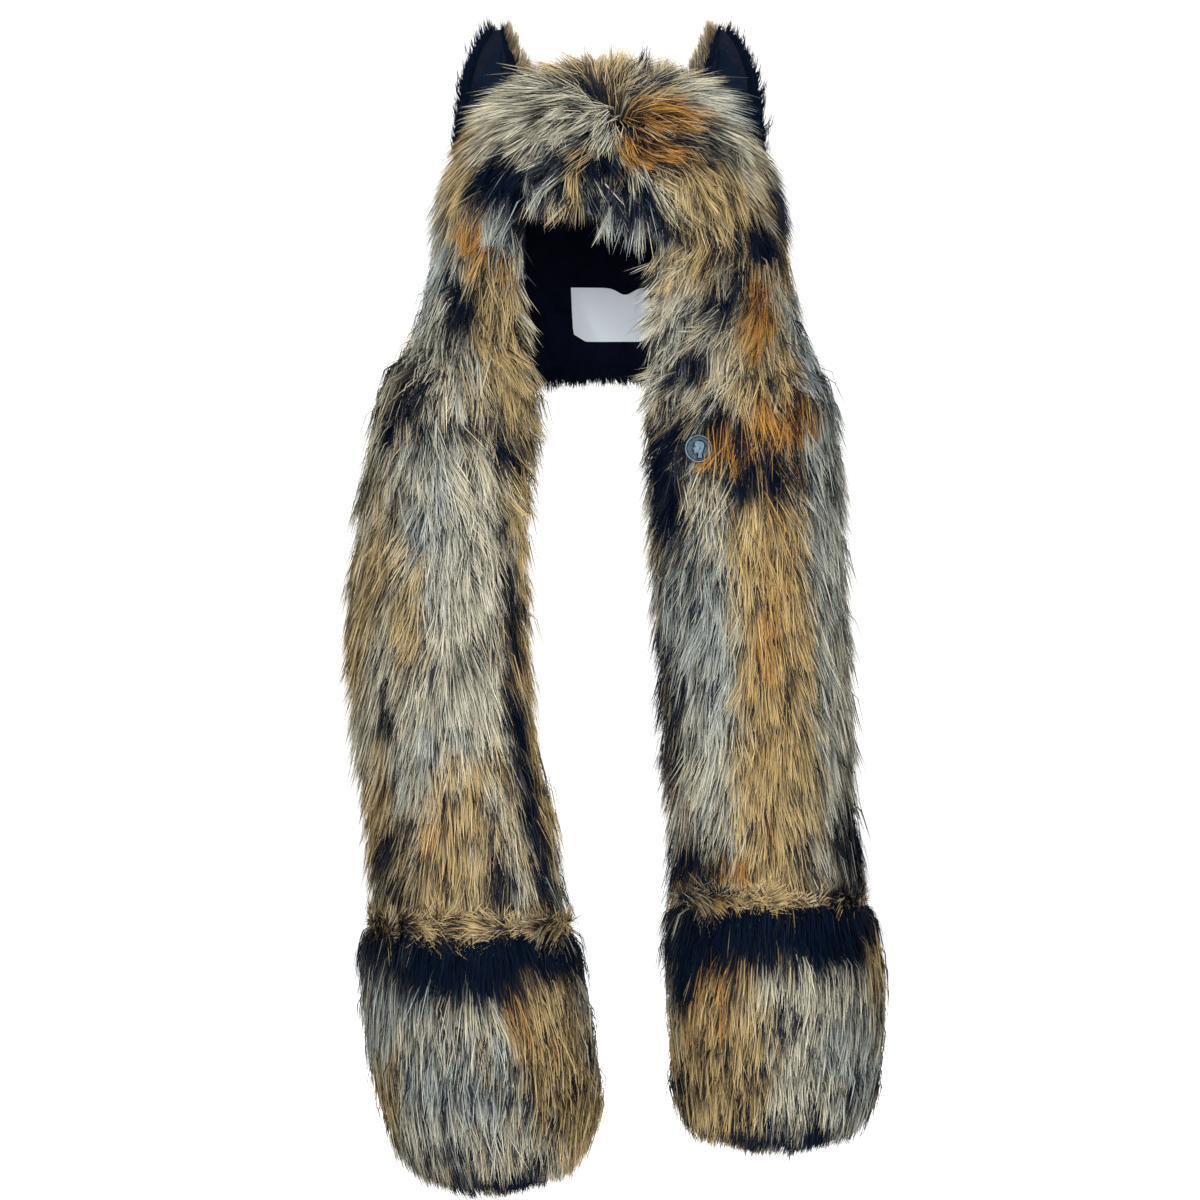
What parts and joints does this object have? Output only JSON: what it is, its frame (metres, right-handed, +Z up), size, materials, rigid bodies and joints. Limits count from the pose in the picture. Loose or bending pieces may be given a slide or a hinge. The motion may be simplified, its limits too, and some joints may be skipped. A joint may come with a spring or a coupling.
{
  "type": "fur hooded scarf",
  "caption": "Faux-fur hood with upright animal ears whose cheeks run on as long fur scarf ends, each closed by a rounded hand pocket, with a coin button at the neck.",
  "frame": {"origin": "inside the crown of the hood, where the top of the head touches the lining", "axes": "+Z up along the worn hood, the face opening and scarf ends look towards -Y, +X towards the button's side"},
  "size_m": [0.4357, 0.304, 0.9331],
  "materials": {
    "long_fur": "long combed pile, cream to rust tips over dark navy underfur",
    "ear_fur": "short dark pile with tan fur behind",
    "ear_panel": "smooth dark navy cloth",
    "plush_lining": "short dark navy plush",
    "label_cloth": "plain woven satin",
    "coin_metal": "aged silver with darker recesses"
  },
  "bodies": {
    "root": {"hood_fur": "long_fur", "hood_lining": "plush_lining", "neck_label": "label_cloth", "coin_button": "coin_metal", "ear_left_fur": "ear_fur", "ear_left_panel": "ear_panel", "scarf_left_fur": "long_fur", "scarf_left_lining": "plush_lining", "pocket_left_fur": "long_fur", "pocket_left_lining": "plush_lining", "ear_right_fur": "ear_fur", "ear_right_panel": "ear_panel", "scarf_right_fur": "long_fur", "scarf_right_lining": "plush_lining", "pocket_right_fur": "long_fur", "pocket_right_lining": "plush_lining"}
  },
  "joints": []
}
